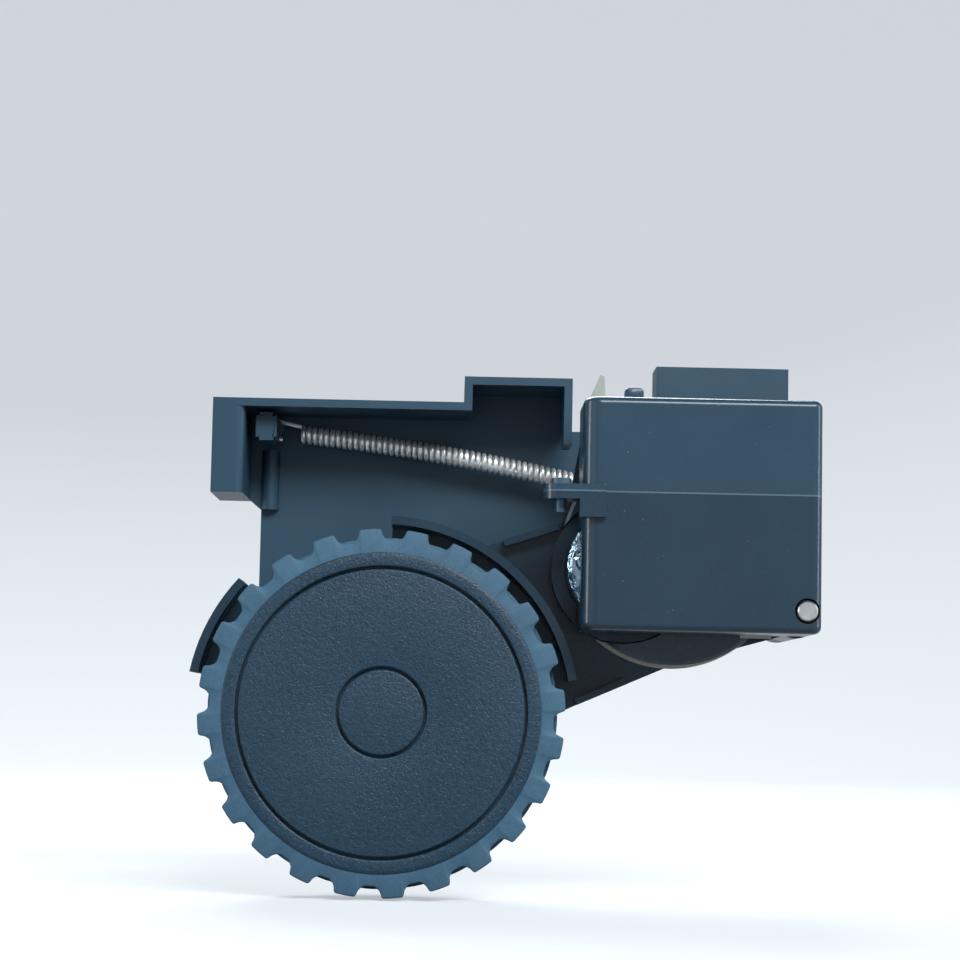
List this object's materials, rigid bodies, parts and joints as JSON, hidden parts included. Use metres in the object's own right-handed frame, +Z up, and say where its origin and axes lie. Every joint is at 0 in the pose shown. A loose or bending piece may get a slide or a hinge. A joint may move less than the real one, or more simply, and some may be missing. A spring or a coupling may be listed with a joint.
{
  "type": "robot vacuum wheel module",
  "caption": "Driven wheel on a sprung swing arm with motor, gear train and box cover, hinged on a black plastic chassis bracket with a tension spring.",
  "frame": {"origin": "middle of the four chassis screws, on the plane where their bosses meet the chassis", "axes": "+Y out of the bosses towards the chassis, +Z up, +X to the right seen from the wheel's outer face"},
  "size_m": [0.1213, 0.0503, 0.1061],
  "materials": {
    "bracket_plastic": "satin moulded black ABS",
    "arm_plastic": "satin moulded black ABS",
    "cover_plastic": "semi-gloss moulded black ABS",
    "hub_plastic": "moulded black plastic",
    "cap_plastic": "fine spark-grained blue-black plastic",
    "tyre_rubber": "smooth mid-grey rubber",
    "gear_nylon": "natural nylon",
    "socket_nylon": "black nylon",
    "circuit_board": "solder resist",
    "gasket_sheet": "pale fibre sheet",
    "spring_steel": "bright drawn wire",
    "pin_steel": "ground steel",
    "screw_steel": "zinc-plated",
    "motor_steel": "zinc-plated drawn steel",
    "bearing_steel": "ground steel",
    "bush_bronze": "sintered bronze",
    "pinion_brass": "turned brass",
    "contact_metal": "plated contacts",
    "magnet": "sintered magnet"
  },
  "bodies": {
    "frame": {"bracket": "bracket_plastic", "pivot_pin": "pin_steel", "connector_socket": "socket_nylon", "connector_pins": "contact_metal", "drop_board": "circuit_board", "tension_spring": "spring_steel"},
    "swing_arm": {"arm_case": "arm_plastic", "gear_cover": "arm_plastic", "cover_screws": "screw_steel", "gear_pins": "pin_steel", "wheel_bearings": "bearing_steel", "pivot_bushes": "bush_bronze", "sensor_magnet": "magnet", "motor_can": "motor_steel", "motor_screws": "screw_steel", "motor_drum": "cover_plastic", "drum_gasket": "gasket_sheet", "box_gasket": "gasket_sheet", "upper_box": "cover_plastic", "lower_box": "cover_plastic", "box_screw": "screw_steel", "encoder_board": "circuit_board"},
    "wheel": {"output_gear": "gear_nylon", "wheel_shaft": "pin_steel", "wheel_hub": "hub_plastic", "hub_cap": "cap_plastic", "hub_screw": "screw_steel", "tyre": "tyre_rubber"},
    "second_gear": {"second_gear": "gear_nylon"},
    "first_gear": {"first_gear": "gear_nylon"},
    "rotor": {"rotor_shaft": "pin_steel", "motor_pinion": "pinion_brass", "encoder_magnet": "magnet"}
  },
  "joints": [
    {"name": "arm_swing", "type": "hinge", "parent": "frame", "child": "swing_arm", "pos_m": [0.0526, 0, -0.0175], "axis": [0, 1, 0], "range_deg": [0, 14], "stiffness_Nm_per_rad": 0.35, "springref_deg": -28.65, "deforming": ["tension_spring"]},
    {"name": "wheel_spin", "type": "hinge", "parent": "swing_arm", "child": "wheel", "pos_m": [-0.027, 0, -0.038], "axis": [0, 1, 0], "continuous": true},
    {"name": "second_gear_spin", "type": "hinge", "parent": "swing_arm", "child": "second_gear", "pos_m": [-0.0082, 0, -0.02639], "axis": [0, 1, 0], "continuous": true},
    {"name": "first_gear_spin", "type": "hinge", "parent": "swing_arm", "child": "first_gear", "pos_m": [0.0065, 0, -0.01731], "axis": [0, 1, 0], "continuous": true},
    {"name": "rotor_spin", "type": "hinge", "parent": "swing_arm", "child": "rotor", "pos_m": [0.01916, 0, -0.00949], "axis": [0, 1, 0], "continuous": true}
  ],
  "couplings": [
    {"joint": "second_gear_spin", "follows": "wheel_spin", "ratio": -3.3333},
    {"joint": "first_gear_spin", "follows": "wheel_spin", "ratio": 10},
    {"joint": "rotor_spin", "follows": "wheel_spin", "ratio": -30}
  ]
}
